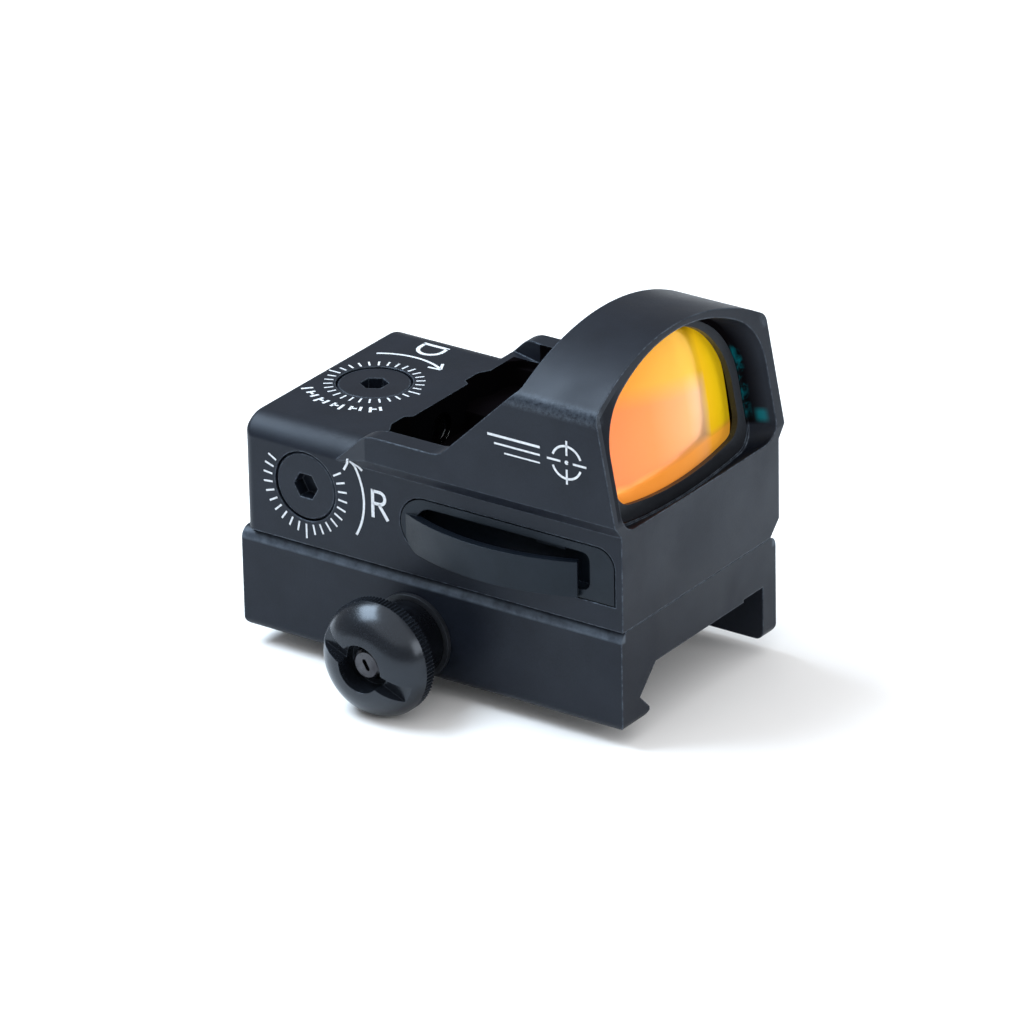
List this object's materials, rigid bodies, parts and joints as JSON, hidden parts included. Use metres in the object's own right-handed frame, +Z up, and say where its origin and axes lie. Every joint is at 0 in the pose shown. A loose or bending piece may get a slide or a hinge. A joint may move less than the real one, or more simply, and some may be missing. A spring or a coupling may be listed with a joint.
{
  "type": "micro reflex red dot sight",
  "caption": "Black open micro reflex red dot sight with an amber coated lens, clamped by a thumb knob to a rail mount, with a side battery drawer.",
  "frame": {"origin": "middle of the flat seat that lies on top of the rail", "axes": "+Y forward to the target through the lens, +Z up, +X to the user's right, the side of the battery drawer, clamp knob and windage dial"},
  "size_m": [0.0388, 0.0473, 0.0407],
  "materials": {
    "mount_anodised": "satin black anodised, fine bead-blast",
    "body_anodised": "satin black anodised, fine bead-blast, white print",
    "plate_anodised": "satin black anodised",
    "dial_anodised": "satin black anodised with white marks",
    "knob_anodised": "semi-gloss black anodised",
    "bolt_steel": "grey steel, turned",
    "screw_steel": "black oxide",
    "pin_steel": "ground steel",
    "spring_steel": "drawn wire",
    "washer_plastic": "dark grey, matte",
    "seal_rubber": "matte",
    "coated_glass": "orange to amber reflecting coating",
    "clear_glass": "clear",
    "bezel_black": "dark, satin",
    "brass_inner": "machined",
    "carriage_plastic": "matte black",
    "emitter_red": "clear red",
    "board_green": "solder mask",
    "chip_black": "matte",
    "button_rubber": "matte",
    "drawer_black": "satin black",
    "cell_steel": "pressed steel can",
    "contact_brass": "sprung strip"
  },
  "bodies": {
    "body": {"rail_mount": "mount_anodised", "sight_body": "body_anodised", "knob_washer": "washer_plastic", "jaw_springs": "spring_steel", "body_screws": "screw_steel", "base_gasket": "seal_rubber", "bottom_plate": "plate_anodised", "bottom_plate_screws": "screw_steel", "objective_lens": "coated_glass", "lens_bezel": "bezel_black", "dial_seals": "seal_rubber", "detent_balls": "pin_steel", "detent_springs": "spring_steel", "guide_rod": "pin_steel", "carriage_spring": "spring_steel", "slider_spring": "spring_steel", "emitter_window": "clear_glass", "circuit_board": "board_green", "board_chips": "chip_black", "tactile_switch": "chip_black", "button_seal": "seal_rubber", "contact_plus": "contact_brass", "contact_minus": "contact_brass"},
    "clamp": {"clamp_jaw": "mount_anodised", "cross_bolt": "bolt_steel", "jaw_guide_pins": "pin_steel"},
    "knob": {"thumb_knob": "knob_anodised"},
    "windage": {"windage_dial": "dial_anodised", "windage_clip": "spring_steel"},
    "slider": {"windage_slider": "brass_inner"},
    "elevation": {"elevation_dial": "dial_anodised", "elevation_clip": "spring_steel"},
    "nut": {"elevation_nut": "brass_inner"},
    "carriage": {"emitter_carriage": "carriage_plastic", "led_emitter": "emitter_red"},
    "button": {"power_button": "button_rubber"},
    "drawer": {"battery_tray": "drawer_black", "tray_seal": "seal_rubber", "battery_cell": "cell_steel"}
  },
  "joints": [
    {"name": "knob_turn", "type": "hinge", "parent": "body", "child": "knob", "pos_m": [0, -0.002, -0.00135], "axis": [1, 0, 0], "range_deg": [0, 1080]},
    {"name": "clamp_slide", "type": "slide", "parent": "body", "child": "clamp", "axis": [-1, 0, 0], "range_m": [0, 0.0021], "deforming": ["jaw_springs"]},
    {"name": "windage_turn", "type": "hinge", "parent": "body", "child": "windage", "pos_m": [0, -0.015, 0.01206], "axis": [1, 0, 0], "range_deg": [-540, 540]},
    {"name": "windage_slide", "type": "slide", "parent": "body", "child": "slider", "axis": [1, 0, 0], "range_m": [-0.00052, 0.00052], "deforming": ["slider_spring"]},
    {"name": "elevation_turn", "type": "hinge", "parent": "body", "child": "elevation", "pos_m": [0, -0.0164, 0], "axis": [0, 0, 1], "range_deg": [-540, 540]},
    {"name": "nut_slide", "type": "slide", "parent": "body", "child": "nut", "axis": [0, 0, 1], "range_m": [-0.00052, 0.00052]},
    {"name": "carriage_slide", "type": "slide", "parent": "slider", "child": "carriage", "axis": [0, 0, 1], "range_m": [-0.00053, 0.00053], "deforming": ["carriage_spring"]},
    {"name": "button_press", "type": "slide", "parent": "body", "child": "button", "axis": [1, 0, 0], "range_m": [0, 0.0004], "stiffness_N_per_m": 900, "springref_m": -0.0002},
    {"name": "drawer_slide", "type": "slide", "parent": "body", "child": "drawer", "axis": [1, 0, 0], "range_m": [0, 0.024]}
  ],
  "couplings": [
    {"joint": "knob_turn", "follows": "clamp_slide", "rad_per_m": 8975.9},
    {"joint": "windage_turn", "follows": "windage_slide", "rad_per_m": -17952},
    {"joint": "elevation_turn", "follows": "nut_slide", "rad_per_m": -17952},
    {"joint": "carriage_slide", "follows": "nut_slide", "ratio": 1}
  ]
}
